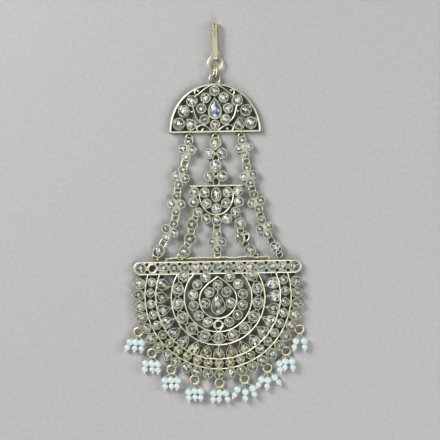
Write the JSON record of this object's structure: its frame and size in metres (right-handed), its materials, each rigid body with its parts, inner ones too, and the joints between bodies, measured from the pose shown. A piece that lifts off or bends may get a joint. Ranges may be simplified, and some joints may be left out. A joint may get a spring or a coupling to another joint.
{
  "type": "passa (jhoomar, side-head jewel)",
  "caption": "Flat side-head jewel: hook and half-round plaque, strands of set stones, a shield plaque and a wide crescent plaque fringed with pearl drops.",
  "frame": {"origin": "on the flat back of the crescent plaque, near the middle of its rows of stones", "axes": "+Y up the jewel to the hook, +Z out of the stones, +X to the viewer's right"},
  "size_m": [0.0729, 0.1525, 0.0028],
  "materials": {
    "gilt_metal": "pale greenish antique gilt, bright on the raised wires",
    "stones": "clear faceted stones over silvery foil, in pale gilt settings",
    "pearls": "small cream pearls with a soft lustre"
  },
  "bodies": {
    "root": {"crescent_plaque": "gilt_metal", "crown_plaque": "gilt_metal", "hook": "gilt_metal", "hook_ring": "gilt_metal", "left_inner_strand": "stones", "left_link_1": "stones", "left_link_2": "stones", "left_link_3": "stones", "left_link_4": "stones", "left_oval_drop": "stones", "left_ring_1": "gilt_metal", "left_ring_2": "gilt_metal", "left_ring_3": "gilt_metal", "left_ring_4": "gilt_metal", "left_ring_5": "gilt_metal", "left_ring_6": "gilt_metal", "middle_foot_link": "stones", "middle_ring_1": "gilt_metal", "middle_ring_2": "gilt_metal", "middle_ring_3": "gilt_metal", "middle_ring_4": "gilt_metal", "middle_ring_5": "gilt_metal", "middle_trefoil_1": "stones", "middle_trefoil_2": "stones", "pair_ring_left": "gilt_metal", "pair_ring_right": "gilt_metal", "pearl_drop_1": "pearls", "pearl_drop_2": "pearls", "pearl_drop_3": "pearls", "pearl_drop_4": "pearls", "pearl_drop_5": "pearls", "pearl_drop_6": "pearls", "pearl_drop_7": "pearls", "pearl_drop_8": "pearls", "pearl_drop_9": "pearls", "right_inner_strand": "stones", "right_link_1": "stones", "right_link_2": "stones", "right_link_3": "stones", "right_link_4": "stones", "right_oval_drop": "stones", "right_ring_1": "gilt_metal", "right_ring_2": "gilt_metal", "right_ring_3": "gilt_metal", "right_ring_4": "gilt_metal", "right_ring_5": "gilt_metal", "right_ring_6": "gilt_metal", "shield_plaque": "gilt_metal"}
  },
  "joints": []
}
